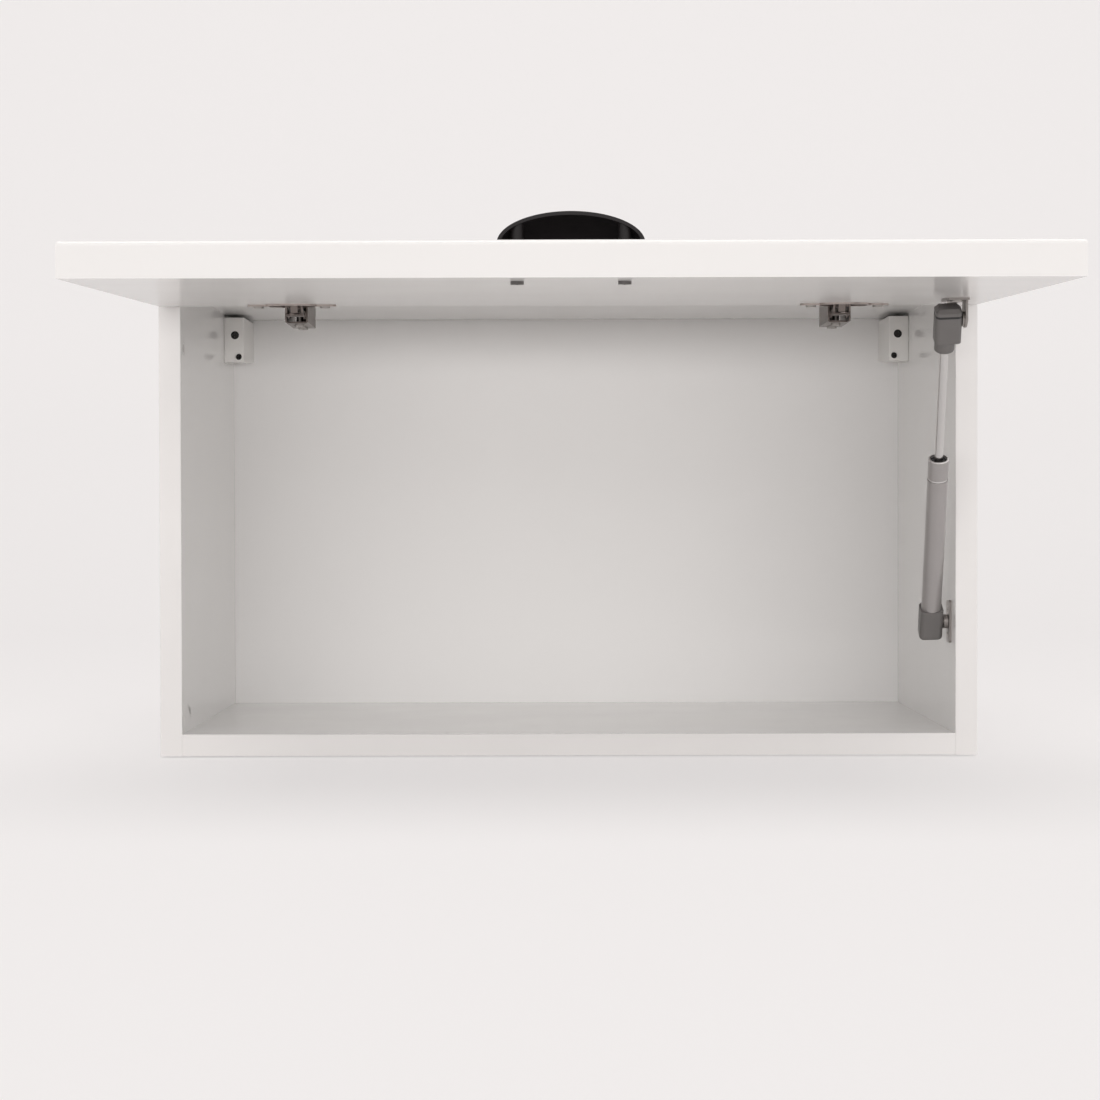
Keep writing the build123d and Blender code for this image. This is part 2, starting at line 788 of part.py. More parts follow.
with BuildPart() as handle_screws:
    add_screws(
        flap_back(0, handle_along),
        handle_spots,
        handle_screw_head_r,
        handle_screw_head,
        handle_screw_r,
        flap_thickness + handle_screw_grip,
    )
finish(handle_screws, "handle_screws")


# The strut's own frame: Z from the lower ball to the upper one, X towards the side panel
strut_high = on_flap(strut_high_x, strut_high_along, -strut_high_drop)
strut_span = (strut_high - strut_low).length
strut_up = (strut_high - strut_low).normalized()
strut_side = (Vector(1, 0, 0) - strut_up * strut_up.X).normalized()
tube_base = low_end_above
tube_mouth = tube_base + tube_length
tube_bore_r = tube_r - tube_wall
guide_top = tube_mouth - guide_set
piston_top = guide_top - guide_length - piston_gap
rod_foot = piston_top - piston_length
high_tail = strut_span - high_end_tail
high_foot = high_tail - high_end_neck


def strut_level(up):
    """A sketch plane across the strut, so far above the lower ball."""
    return Plane(origin=strut_low + strut_up * up, x_dir=strut_side, z_dir=strut_up)


def cut_socket(up, radius, reach):
    """Cut a ball socket into a strut end, open towards the side panel."""
    middle = Plane(origin=strut_low + strut_up * up, x_dir=strut_up, z_dir=strut_side)
    with Locations(middle):
        Sphere(radius, mode=Mode.SUBTRACT)
    drill(middle.offset(reach), [(0, 0)], stud_neck_r + neck_opening, reach)


# Strut's upper connector, its clip, the rod and the piston
high_end_width = high_end_left + high_end_right
high_end_shift = (high_end_right - high_end_left) / 2
with BuildPart() as strut_rod_end:
    with BuildSketch(strut_level(high_tail)):
        with Locations((high_end_shift, 0)):
            RectangleRounded(high_end_width, end_thickness, end_round)
    extrude(amount=high_end_tail + high_end_cap)
    cap_face = strut_rod_end.faces().sort_by(Axis(strut_low, strut_up))[-1]
    chamfer(cap_face.edges(), length=high_end_bevel)
    with BuildSketch(strut_level(high_foot)):
        Circle(high_end_neck_r)
    extrude(amount=high_end_neck)
    foot_face = strut_rod_end.faces().sort_by(Axis(strut_low, strut_up))[0]
    fillet(foot_face.edges(), radius=high_end_neck_round)
    with BuildSketch(strut_level(strut_span + clip_up)):
        with Locations((high_end_shift, 0)):
            Rectangle(high_end_width, end_thickness)
            RectangleRounded(
                high_end_width - 2 * clip_metal,
                end_thickness - 2 * clip_metal,
                end_round - clip_metal,
                mode=Mode.SUBTRACT,
            )
    extrude(amount=clip_height, mode=Mode.SUBTRACT)
    cut_socket(strut_span, ball_r + ball_play, high_end_right)
    drill(strut_level(high_foot + rod_grip), [(0, 0)], rod_r, rod_grip)
finish(strut_rod_end, "strut_rod_end")

with BuildPart() as strut_end_clip:
    with BuildSketch(strut_level(strut_span + clip_up)):
        with Locations((high_end_shift, 0)):
            RectangleRounded(high_end_width, end_thickness, end_round)
            RectangleRounded(
                high_end_width - 2 * clip_metal,
                end_thickness - 2 * clip_metal,
                end_round - clip_metal,
                mode=Mode.SUBTRACT,
            )
    extrude(amount=clip_height)
finish(strut_end_clip, "strut_end_clip")

with BuildPart() as strut_rod:
    add_rods(strut_level(rod_foot), [(0, 0)], rod_r, high_foot + rod_grip - rod_foot)
finish(strut_rod, "strut_rod")

with BuildPart() as strut_piston:
    add_rods(strut_level(rod_foot), [(0, 0)], tube_bore_r - slide_play, piston_length)
    drill(strut_level(piston_top), [(0, 0)], rod_r, piston_length)
finish(strut_piston, "strut_piston")


# Strut's tube, the guide in its mouth, and the lower connector
with BuildPart() as strut_tube:
    add_rods(strut_level(tube_base), [(0, 0)], tube_r, tube_length)
    fillet(strut_tube.faces().sort_by(Axis(strut_low, strut_up))[-1].edges(), radius=tube_rim_round)
    drill(strut_level(tube_mouth), [(0, 0)], tube_bore_r, tube_length - tube_floor)
    add_rods(strut_level(tube_base), [(0, 0)], tube_stub_r, -tube_stub)
    with BuildSketch(strut_level(tube_mouth - crimp_down)):
        Circle(tube_r)
        Circle(tube_r - crimp_depth, mode=Mode.SUBTRACT)
    extrude(amount=crimp_width, mode=Mode.SUBTRACT)
finish(strut_tube, "strut_tube")

with BuildPart() as strut_tube_guide:
    add_rods(strut_level(guide_top), [(0, 0)], tube_bore_r, -guide_length)
    drill(strut_level(guide_top), [(0, 0)], rod_r + slide_play, guide_length)
finish(strut_tube_guide, "strut_tube_guide")

with BuildPart() as strut_tube_end:
    with BuildSketch(strut_level(-low_end_below)):
        RectangleRounded(low_end_width, end_thickness, end_round)
    extrude(amount=low_end_below + low_end_above)
    low_face = strut_tube_end.faces().sort_by(Axis(strut_low, strut_up))[0]
    fillet(low_face.edges(), radius=low_end_round)
    cut_socket(0, ball_r, low_end_width / 2)
    drill(strut_level(tube_base), [(0, 0)], tube_stub_r, tube_stub)
finish(strut_tube_end, "strut_tube_end")


# Ball studs: the upper one is riveted to the flap's bracket, the lower one seats at the side plate
bracket_leg_x = strut_high_x + bracket_leg_gap
leg_outer = bracket_leg_x + bracket_thickness
with BuildPart() as strut_door_ball:
    with Locations(Plane(origin=strut_high, x_dir=(0, 1, 0), z_dir=(1, 0, 0))):
        Sphere(ball_r)
    stud_spot = [(strut_high.Y, strut_high.Z)]
    add_rods(Plane.YZ.offset(strut_high_x), stud_spot, stud_neck_r, leg_outer - strut_high_x)
    add_rods(Plane.YZ.offset(bracket_leg_x), stud_spot, stud_collar_r, -high_collar)
    add_rods(Plane.YZ.offset(leg_outer), stud_spot, rivet_r, rivet_head)
finish(strut_door_ball, "strut_door_ball")

seat = inner_half - side_plate_thickness - stud_seat_gap
with BuildPart() as strut_side_ball:
    with Locations(Plane(origin=strut_low, x_dir=(0, 1, 0), z_dir=(1, 0, 0))):
        Sphere(ball_r)
    seat_spot = [(strut_low.Y, strut_low.Z)]
    add_rods(Plane.YZ.offset(strut_low.X), seat_spot, stud_neck_r, seat - strut_low.X)
    add_rods(Plane.YZ.offset(seat), seat_spot, stud_collar_r, -low_collar)
finish(strut_side_ball, "strut_side_ball")


# Bracket on the flap: a base under the inner face and a leg down to the ball stud
with BuildPart() as strut_door_bracket:
    with BuildSketch(flap_back(leg_outer - bracket_base / 2, strut_high_along)):
        RectangleRounded(bracket_base, bracket_length, bracket_round)
    extrude(amount=bracket_thickness)
    leg_end = bracket_leg - bracket_leg_width / 2
    leg_plane = Plane(
        origin=on_flap(bracket_leg_x, strut_high_along, 0),
        x_dir=flap_frame.y_dir,
        z_dir=(1, 0, 0),
    )
    with BuildSketch(leg_plane):
        with Locations((0, -leg_end / 2)):
            Rectangle(bracket_leg_width, leg_end)
        with Locations((0, -leg_end)):
            Circle(bracket_leg_width / 2)
        with Locations((0, -strut_high_drop)):
            Circle(stud_neck_r, mode=Mode.SUBTRACT)
    extrude(amount=bracket_thickness)
    drill(
        flap_back(bracket_screw_x, strut_high_along, -bracket_thickness),
        bracket_spots,
        strut_screw_r,
        bracket_thickness,
    )
finish(strut_door_bracket, "strut_door_bracket")

with BuildPart() as strut_door_screws:
    add_screws(
        flap_back(bracket_screw_x, strut_high_along, -bracket_thickness),
        bracket_spots,
        strut_screw_head_r,
        strut_screw_head,
        strut_screw_r,
        strut_screw_length,
    )
finish(strut_door_screws, "strut_door_screws")


# Plate on the right side panel, with two countersunk screws the strut passes over
plate_face = Plane.YZ.offset(inner_half - side_plate_thickness)
head_taper = degrees(atan2(strut_screw_head_r - strut_screw_r, strut_screw_head))
with BuildPart() as side_screws:
    with BuildSketch(plate_face):
        with Locations(*side_screw_spots):
            Circle(strut_screw_head_r)
    extrude(amount=strut_screw_head, taper=head_taper)
    add_rods(plate_face, side_screw_spots, strut_screw_r, strut_screw_length)

with BuildPart() as strut_side_plate:
    with BuildSketch(plate_face):
        with Locations((strut_low.Y, strut_low.Z)):
            RectangleRounded(side_plate_width, side_plate_length, side_plate_round)
    extrude(amount=side_plate_thickness)
    add(side_screws.part, mode=Mode.SUBTRACT)
finish(strut_side_plate, "strut_side_plate")

with BuildPart() as strut_side_screws:
    add(side_screws.part)
    with BuildSketch(plate_face):
        with Locations(*side_screw_spots):
            Rectangle(recess_length, recess_width)
            Rectangle(recess_width, recess_length)
    extrude(amount=recess_depth, mode=Mode.SUBTRACT)
finish(strut_side_screws, "strut_side_screws")
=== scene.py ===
import math

import bmesh
import bpy
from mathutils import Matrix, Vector

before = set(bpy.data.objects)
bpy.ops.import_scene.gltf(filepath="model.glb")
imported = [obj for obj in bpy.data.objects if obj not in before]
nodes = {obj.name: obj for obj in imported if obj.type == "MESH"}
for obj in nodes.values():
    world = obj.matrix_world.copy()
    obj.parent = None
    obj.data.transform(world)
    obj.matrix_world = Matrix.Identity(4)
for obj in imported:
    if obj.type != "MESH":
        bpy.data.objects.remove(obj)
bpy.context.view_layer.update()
bpy.ops.object.select_all(action="DESELECT")


# The view
# The cabinet is seen from straight in front, with the lens level with the middle of its
# carcass and 1.7 m before its front edges, so that both sides show a strip of inner face.
lens_place = (-0.01004, -1.85784, 0.17739)
lens_turn = (89.11764, 0.13176, 0.11256)
camera_data = bpy.data.cameras.new("view")
camera_data.lens = 76.19
camera_data.sensor_width = 36.0
camera = bpy.data.objects.new("view", camera_data)
camera.location = lens_place
camera.rotation_euler = [math.radians(turn) for turn in lens_turn]
bpy.context.scene.collection.objects.link(camera)
bpy.context.scene.camera = camera
bpy.context.scene.view_settings.view_transform = "Standard"


# The floor and the light
# A pale sheet lies under the cabinet and rises behind it in one wide curve. A long soft lamp
# stands in front, as low as the carcass, so that its light reaches in under the flap.
sheet_length = 7.0
sheet_place = (0, -0.6, -0.0012)
sheet_widening = 2.8
sheet_rise = 4.5
curve_reach = 1.4
curve_steps = 14
rear_line = 3.4
lying_below = 0.1


def select_edges(sheet, wanted):
    """Select only the edges, in edit mode, whose corners are all wanted."""
    bpy.ops.mesh.select_all(action="DESELECT")
    shape = bmesh.from_edit_mesh(sheet.data)
    for edge in shape.edges:
        edge.select = all(wanted(corner.co) for corner in edge.verts)
    bmesh.update_edit_mesh(sheet.data)


bpy.ops.mesh.primitive_plane_add(size=sheet_length, location=sheet_place)
paper = bpy.context.object
paper.name = "paper_sweep"
bpy.ops.object.mode_set(mode="EDIT")
bpy.ops.transform.resize(value=(sheet_widening, 1, 1))
bpy.ops.mesh.select_mode(type="EDGE")
select_edges(paper, lambda corner: corner.y > rear_line)
bpy.ops.mesh.extrude_region_move(TRANSFORM_OT_translate={"value": (0, 0, sheet_rise)})
select_edges(paper, lambda corner: corner.y > rear_line and corner.z < lying_below)
bpy.ops.mesh.bevel(offset=curve_reach, segments=curve_steps, affect="EDGES")
bpy.ops.object.mode_set(mode="OBJECT")
bpy.ops.object.transform_apply()
bpy.ops.object.shade_smooth()
bpy.ops.object.select_all(action="DESELECT")


def seen_straight(tree):
    """A mask of the rays that show a surface as it is: direct, mirrored or through glass."""
    rays = tree.nodes.new("ShaderNodeLightPath")
    straight = tree.nodes.new("ShaderNodeMath")
    straight.operation = "MAXIMUM"
    tree.links.new(rays.outputs["Is Camera Ray"], straight.inputs[0])
    tree.links.new(rays.outputs["Is Glossy Ray"], straight.inputs[1])
    any_of = tree.nodes.new("ShaderNodeMath")
    any_of.operation = "MAXIMUM"
    tree.links.new(straight.outputs[0], any_of.inputs[0])
    tree.links.new(rays.outputs["Is Transmission Ray"], any_of.inputs[1])
    return any_of.outputs[0]


paper_colour = (0.86, 0.84, 0.835, 1)
paper_glow_colour = (0.93, 0.90, 0.895, 1)
paper_glow_share = 0.6
paper_finish = bpy.data.materials.new("paper")
paper_finish.use_nodes = True
paper_tree = paper_finish.node_tree
paper_shader = paper_tree.nodes["Principled BSDF"]
paper_shader.inputs["Base Color"].default_value = paper_colour
paper_shader.inputs["Roughness"].default_value = 0.9
paper_glow = paper_tree.nodes.new("ShaderNodeEmission")
paper_glow.inputs["Color"].default_value = paper_glow_colour
paper_share = paper_tree.nodes.new("ShaderNodeMath")
paper_share.operation = "MULTIPLY"
paper_share.inputs[1].default_value = paper_glow_share
paper_tree.links.new(seen_straight(paper_tree), paper_share.inputs[0])
paper_mix = paper_tree.nodes.new("ShaderNodeMixShader")
paper_tree.links.new(paper_share.outputs[0], paper_mix.inputs["Fac"])
paper_tree.links.new(paper_shader.outputs["BSDF"], paper_mix.inputs[1])
paper_tree.links.new(paper_glow.outputs["Emission"], paper_mix.inputs[2])
paper_end = paper_tree.nodes["Material Output"]
paper_tree.links.new(paper_mix.outputs["Shader"], paper_end.inputs["Surface"])
paper.data.materials.append(paper_finish)

# The room lights the cabinet with one strength and is seen behind it in another tone
room_light_colour = (1.0, 0.985, 0.97, 1)
room_light_strength = 0.40
room_seen_colour = (0.90, 0.87, 0.865, 1)
room = bpy.data.worlds.new("pale_room")
room.use_nodes = True
room_tree = room.node_tree
room_light = room_tree.nodes["Background"]
room_light.inputs["Color"].default_value = room_light_colour
room_light.inputs["Strength"].default_value = room_light_strength
room_seen = room_tree.nodes.new("ShaderNodeBackground")
room_seen.inputs["Color"].default_value = room_seen_colour
room_mix = room_tree.nodes.new("ShaderNodeMixShader")
room_tree.links.new(seen_straight(room_tree), room_mix.inputs["Fac"])
room_tree.links.new(room_light.outputs["Background"], room_mix.inputs[1])
room_tree.links.new(room_seen.outputs["Background"], room_mix.inputs[2])
room_end = room_tree.nodes["World Output"]
room_tree.links.new(room_mix.outputs["Shader"], room_end.inputs["Surface"])
bpy.context.scene.world = room

lamp_colour = (1.0, 0.985, 0.975)


def add_lamp(name, size, power, place, target):
    """Hang a soft lamp, so wide and so tall, that faces a point."""
    data = bpy.data.lights.new(name, "AREA")
    data.shape = "RECTANGLE"
    data.size, data.size_y = size
    data.energy = power
    data.color = lamp_colour
    lamp = bpy.data.objects.new(name, data)
    lamp.location = place
    aim = Vector(target) - Vector(place)
    lamp.rotation_euler = aim.to_track_quat("-Z", "Y").to_euler()
    bpy.context.scene.collection.objects.link(lamp)
    return lamp


low_lamp = add_lamp(
    "low_lamp", size=(12.0, 0.46), power=228.0, place=(0.2, -7.0, 0.24), target=(0, 0, 0.3)
)
low_lamp.visible_glossy = False
add_lamp("front_lamp", size=(8.0, 1.6), power=56.0, place=(0.2, -7.0, 2.0), target=(0, 0, 0.2))
add_lamp("roof_lamp", size=(3.2, 3.2), power=80.0, place=(0, -1.2, 4.0), target=(0, -0.9, 0.0))


# The carcass boards
# Sides, top and bottom are 16 mm chipboard with a white melamine face, semi-gloss over a very
# fine orange peel. The saw leaves the chips bare along the rear and on top of the sides.
def start_group(name, inputs, outputs):
    """Open a shader node group with the named float, vector and colour sockets."""
    kinds = {
        "float": "NodeSocketFloat",
        "vector": "NodeSocketVector",
        "colour": "NodeSocketColor",
    }
    group = bpy.data.node_groups.new(name, "ShaderNodeTree")
    for label, kind in inputs:
        group.interface.new_socket(name=label, in_out="INPUT", socket_type=kinds[kind])
    for label, kind in outputs:
        group.interface.new_socket(name=label, in_out="OUTPUT", socket_type=kinds[kind])
    return group, group.nodes.new("NodeGroupInput"), group.nodes.new("NodeGroupOutput")


def add_math(tree, operation, first, second=None, third=None):
    """Place one Math node; a number sets its socket and a socket is linked to it."""
    step = tree.nodes.new("ShaderNodeMath")
    step.operation = operation
    for slot, value in zip(step.inputs, (first, second, third)):
        if isinstance(value, (int, float)):
            slot.default_value = value
        elif value is not None:
            tree.links.new(value, slot)
    return step.outputs[0]


def add_noise(tree, vector, scale, detail=2.0, roughness=0.5):
    """Place one noise texture and give back its value."""
    noise = tree.nodes.new("ShaderNodeTexNoise")
    noise.inputs["Detail"].default_value = detail
    noise.inputs["Roughness"].default_value = roughness
    tree.links.new(vector, noise.inputs["Vector"])
    if isinstance(scale, (int, float)):
        noise.inputs["Scale"].default_value = scale
    else:
        tree.links.new(scale, noise.inputs["Scale"])
    return noise.outputs["Fac"]


def add_mix(tree, share, first, second):
    """Mix two colours by a share; a number or tuple sets its socket, a socket is linked."""
    mix = tree.nodes.new("ShaderNodeMix")
    mix.data_type = "RGBA"
    first_colour, second_colour, mixed_colour = mix.inputs[6], mix.inputs[7], mix.outputs[2]
    slots = (mix.inputs["Factor"], first_colour, second_colour)
    for slot, value in zip(slots, (share, first, second)):
        if isinstance(value, (int, float, tuple)):
            slot.default_value = value
        else:
            tree.links.new(value, slot)
    return mixed_colour


# Slow drift of tone: a colour made a little lighter and darker in soft patches
tone_drift, given, made = start_group(
    "tone_drift",
    [("Vector", "vector"), ("Colour", "colour"), ("Scale", "float"), ("Amount", "float")],
    [("Colour", "colour")],
)
patches = add_noise(tone_drift, given.outputs["Vector"], given.outputs["Scale"], detail=3.0)
swing = add_math(tone_drift, "SUBTRACT", patches, 0.5)
gain = add_math(tone_drift, "MULTIPLY_ADD", swing, given.outputs["Amount"], 1.0)
lift = tone_drift.nodes.new("ShaderNodeVectorMath")
lift.operation = "SCALE"
tone_drift.links.new(given.outputs["Colour"], lift.inputs[0])
tone_drift.links.new(gain, lift.inputs["Scale"])
tone_drift.links.new(lift.outputs[0], made.inputs["Colour"])

# Gloss that varies: a roughness between two ends, in soft patches
gloss_drift, given, made = start_group(
    "gloss_drift",
    [("Vector", "vector"), ("Scale", "float"), ("Low", "float"), ("High", "float")],
    [("Roughness", "float")],
)
broad = add_noise(
    gloss_drift, given.outputs["Vector"], given.outputs["Scale"], detail=4.0, roughness=0.6
)
span = add_math(gloss_drift, "SUBTRACT", given.outputs["High"], given.outputs["Low"])
value = add_math(gloss_drift, "MULTIPLY_ADD", broad, span, given.outputs["Low"])
gloss_drift.links.new(value, made.inputs["Roughness"])

# Orange peel: the shallow waviness of a pressed or lacquered face, with a finer grain in it
grain_fineness = 4.3
grain_share = 0.25
orange_peel, given, made = start_group(
    "orange_peel", [("Vector", "vector"), ("Scale", "float")], [("Height", "float")]
)
wave = add_noise(orange_peel, given.outputs["Vector"], given.outputs["Scale"], detail=1.0)
finer = add_math(orange_peel, "MULTIPLY", given.outputs["Scale"], grain_fineness)
grain = add_noise(orange_peel, given.outputs["Vector"], finer)
height = add_math(orange_peel, "MULTIPLY_ADD", grain, grain_share, wave)
orange_peel.links.new(height, made.inputs["Height"])

# Spot: a soft round or oval mark at one place, whole at its heart and gone at its reach
heart_share = 0.45
spot_mark, given, made = start_group(
    "spot_mark",
    [("Vector", "vector"), ("Centre", "vector"), ("Reach", "vector")],
    [("Mask", "float")],
)
away = spot_mark.nodes.new("ShaderNodeVectorMath")
away.operation = "SUBTRACT"
spot_mark.links.new(given.outputs["Vector"], away.inputs[0])
spot_mark.links.new(given.outputs["Centre"], away.inputs[1])
share = spot_mark.nodes.new("ShaderNodeVectorMath")
share.operation = "DIVIDE"
spot_mark.links.new(away.outputs[0], share.inputs[0])
spot_mark.links.new(given.outputs["Reach"], share.inputs[1])
ring = spot_mark.nodes.new("ShaderNodeVectorMath")
ring.operation = "LENGTH"
spot_mark.links.new(share.outputs[0], ring.inputs[0])
fade = spot_mark.nodes.new("ShaderNodeMapRange")
fade.interpolation_type = "SMOOTHSTEP"
fade.inputs["From Min"].default_value = heart_share
fade.inputs["From Max"].default_value = 1.0
fade.inputs["To Min"].default_value = 1.0
fade.inputs["To Max"].default_value = 0.0
spot_mark.links.new(ring.outputs["Value"], fade.inputs["Value"])
spot_mark.links.new(fade.outputs["Result"], made.inputs["Mask"])

# Chipboard: glued chips of several browns, rough where the saw went through them
dark_chip = (0.26, 0.155, 0.075, 1)
light_chip = (0.62, 0.45, 0.28, 1)
dust_colour = (0.52, 0.40, 0.27, 1)
dust_share = 0.5
chip_relief = 0.6
chip_face, given, made = start_group(
    "chip_face", [("Vector", "vector")], [("Colour", "colour"), ("Height", "float")]
)
chips = chip_face.nodes.new("ShaderNodeTexVoronoi")
chips.inputs["Scale"].default_value = 520.0
stretch = chip_face.nodes.new("ShaderNodeMapping")
stretch.inputs["Scale"].default_value = (0.45, 1.0, 1.3)
chip_face.links.new(given.outputs["Vector"], stretch.inputs["Vector"])
chip_face.links.new(stretch.outputs["Vector"], chips.inputs["Vector"])
browns = chip_face.nodes.new("ShaderNodeValToRGB")
browns.color_ramp.elements[0].position = 0.1
browns.color_ramp.elements[0].color = dark_chip
browns.color_ramp.elements[1].position = 0.9
browns.color_ramp.elements[1].color = light_chip
chip_face.links.new(chips.outputs["Color"], browns.inputs["Fac"])
dust = add_noise(chip_face, given.outputs["Vector"], 900.0, detail=4.0)
dusting = add_math(chip_face, "MULTIPLY", dust, dust_share)
dusted = add_mix(chip_face, dusting, browns.outputs["Color"], dust_colour)
chip_face.links.new(dusted, made.inputs["Colour"])
relief = add_math(chip_face, "MULTIPLY_ADD", chips.outputs["Distance"], chip_relief, dust)
chip_face.links.new(relief, made.inputs["Height"])


def new_finish(name):
    """Open a material; give back it, its tree, its shader and the place on the object."""
    finish = bpy.data.materials.new(name)
    finish.use_nodes = True
    tree = finish.node_tree
    place = tree.nodes.new("ShaderNodeTexCoord")
    return finish, tree, tree.nodes["Principled BSDF"], place


def use_group(tree, group, **values):
    """Place a group in a material, with sockets linked or set by name."""
    block = tree.nodes.new("ShaderNodeGroup")
    block.node_tree = group
    for label, value in values.items():
        slot = block.inputs[label]
        if isinstance(value, bpy.types.NodeSocket):
            tree.links.new(value, slot)
        else:
            slot.default_value = value
    return block.outputs


def add_bump(tree, shader, height, strength, distance):
    """Raise a height on the surface through a Bump node."""
    bump = tree.nodes.new("ShaderNodeBump")
    bump.inputs["Strength"].default_value = strength
    bump.inputs["Distance"].default_value = distance
    tree.links.new(height, bump.inputs["Height"])
    tree.links.new(bump.outputs["Normal"], shader.inputs["Normal"])


def dress(finish, *names):
    """Give a finish to the material slots of the named nodes."""
    for name in names:
        for slot in nodes[name].material_slots:
            slot.material = finish


# The melamine, with two scuffs inside the left side, near its front edge: a rub as high as the
# hanger, and a chip that slants just above the bottom panel
side_face = 0.284
carcass_top = 0.36
melamine_white = (0.88, 0.87, 0.86, 1)
rub_place = (-side_face, -0.136, 0.3005)
rub_reach = (0.004, 0.0065, 0.0056)
chip_place = (-side_face, -0.114, 0.0306)
chip_turn = (math.radians(-25.0), 0, 0)
chip_reach = (0.004, 0.013, 0.003)
scrape_level = 0.44
scrape_depth = 0.85
scraped_grey = (0.22, 0.21, 0.20, 1)
scraped_roughness = 0.3
bare_roughness = 0.6
bare_lift = 60.0
facing_limit = 0.7
melamine, tree, shader, place = new_finish("white_melamine")
at = place.outputs["Object"]
white = use_group(tree, tone_drift, Vector=at, Colour=melamine_white, Scale=6.0, Amount=0.03)
rub = use_group(tree, spot_mark, Vector=at, Centre=rub_place, Reach=rub_reach)
slant = tree.nodes.new("ShaderNodeMapping")
slant.vector_type = "TEXTURE"
slant.inputs["Location"].default_value = chip_place
slant.inputs["Rotation"].default_value = chip_turn
tree.links.new(at, slant.inputs["Vector"])
slanted = slant.outputs[0]
chip = use_group(tree, spot_mark, Vector=slanted, Centre=(0, 0, 0), Reach=chip_reach)
grit = add_noise(tree, at, 700.0, detail=3.0)
scrape = add_math(tree, "GREATER_THAN", grit, scrape_level)
marks = add_math(tree, "MULTIPLY", add_math(tree, "ADD", rub["Mask"], chip["Mask"]), scrape)
scraped = add_math(tree, "MULTIPLY", marks, scrape_depth)
faced = add_mix(tree, scraped, white["Colour"], scraped_grey)
facing = tree.nodes.new("ShaderNodeSeparateXYZ")
tree.links.new(place.outputs["Normal"], facing.inputs[0])
where = tree.nodes.new("ShaderNodeSeparateXYZ")
tree.links.new(at, where.inputs[0])
rear = add_math(tree, "GREATER_THAN", facing.outputs["Y"], facing_limit)
upward = add_math(tree, "GREATER_THAN", facing.outputs["Z"], facing_limit)
sideways = add_math(tree, "ABSOLUTE", where.outputs["X"])
on_side = add_math(tree, "GREATER_THAN", sideways, side_face + 0.0001)
on_top = add_math(tree, "GREATER_THAN", where.outputs["Z"], carcass_top - 0.001)
side_top = add_math(tree, "MULTIPLY", add_math(tree, "MULTIPLY", upward, on_side), on_top)
bare = add_math(tree, "MAXIMUM", rear, side_top)
chipboard = use_group(tree, chip_face, Vector=at)
tree.links.new(add_mix(tree, bare, faced, chipboard["Colour"]), shader.inputs["Base Color"])
gloss = use_group(tree, gloss_drift, Vector=at, Scale=11.0, Low=0.12, High=0.16)
rough = add_math(tree, "MULTIPLY_ADD", bare, bare_roughness, gloss["Roughness"])
rough = add_math(tree, "MULTIPLY_ADD", marks, scraped_roughness, rough)
tree.links.new(rough, shader.inputs["Roughness"])
peel = use_group(tree, orange_peel, Vector=at, Scale=800.0)
torn = add_math(tree, "MULTIPLY", bare, chipboard["Height"])
raised = add_math(tree, "MULTIPLY_ADD", torn, bare_lift, peel["Height"])
add_bump(tree, shader, raised, strength=0.05, distance=0.00005)
dress(melamine, "side_panel_left", "side_panel_right", "top_panel", "bottom_panel")


# The back panel
# A 3 mm hardboard sheet slid into the grooves. Its front is lacquered white and satin, and
# its rear is bare brown fibre with the print of the press's wire screen.
board_white = (0.87, 0.858, 0.848, 1)
fibre_brown = (0.26, 0.155, 0.085, 1)
fleck_brown = (0.36, 0.24, 0.14, 1)
fleck_share = 0.5
fibre_roughness = 0.45
screen_wave = 4200.0
screen_lift = 3.0
back_board, tree, shader, place = new_finish("lacquered_hardboard")
at = place.outputs["Object"]
white = use_group(tree, tone_drift, Vector=at, Colour=board_white, Scale=5.0, Amount=0.03)
fibre = use_group(tree, tone_drift, Vector=at, Colour=fibre_brown, Scale=60.0, Amount=0.5)
facing = tree.nodes.new("ShaderNodeSeparateXYZ")
tree.links.new(place.outputs["Normal"], facing.inputs[0])
bare = add_math(tree, "GREATER_THAN", facing.outputs["Y"], -0.5)
specks = add_noise(tree, at, 1500.0, detail=3.0, roughness=0.7)
flecks = add_math(tree, "MULTIPLY", specks, fleck_share)
brown = add_mix(tree, flecks, fibre["Colour"], fleck_brown)
tree.links.new(add_mix(tree, bare, white["Colour"], brown), shader.inputs["Base Color"])
gloss = use_group(tree, gloss_drift, Vector=at, Scale=12.0, Low=0.34, High=0.40)
rough = add_math(tree, "MULTIPLY_ADD", bare, fibre_roughness, gloss["Roughness"])
tree.links.new(rough, shader.inputs["Roughness"])
where = tree.nodes.new("ShaderNodeSeparateXYZ")
tree.links.new(at, where.inputs[0])
weft = add_math(tree, "SINE", add_math(tree, "MULTIPLY", where.outputs["X"], screen_wave))
warp = add_math(tree, "SINE", add_math(tree, "MULTIPLY", where.outputs["Z"], screen_wave))
screen = add_math(tree, "MULTIPLY", add_math(tree, "MULTIPLY", weft, warp), bare)
peel = use_group(tree, orange_peel, Vector=at, Scale=520.0)
raised = add_math(tree, "MULTIPLY_ADD", screen, screen_lift, peel["Height"])
add_bump(tree, shader, raised, strength=0.25, distance=0.00005)
dress(back_board, "back_panel")


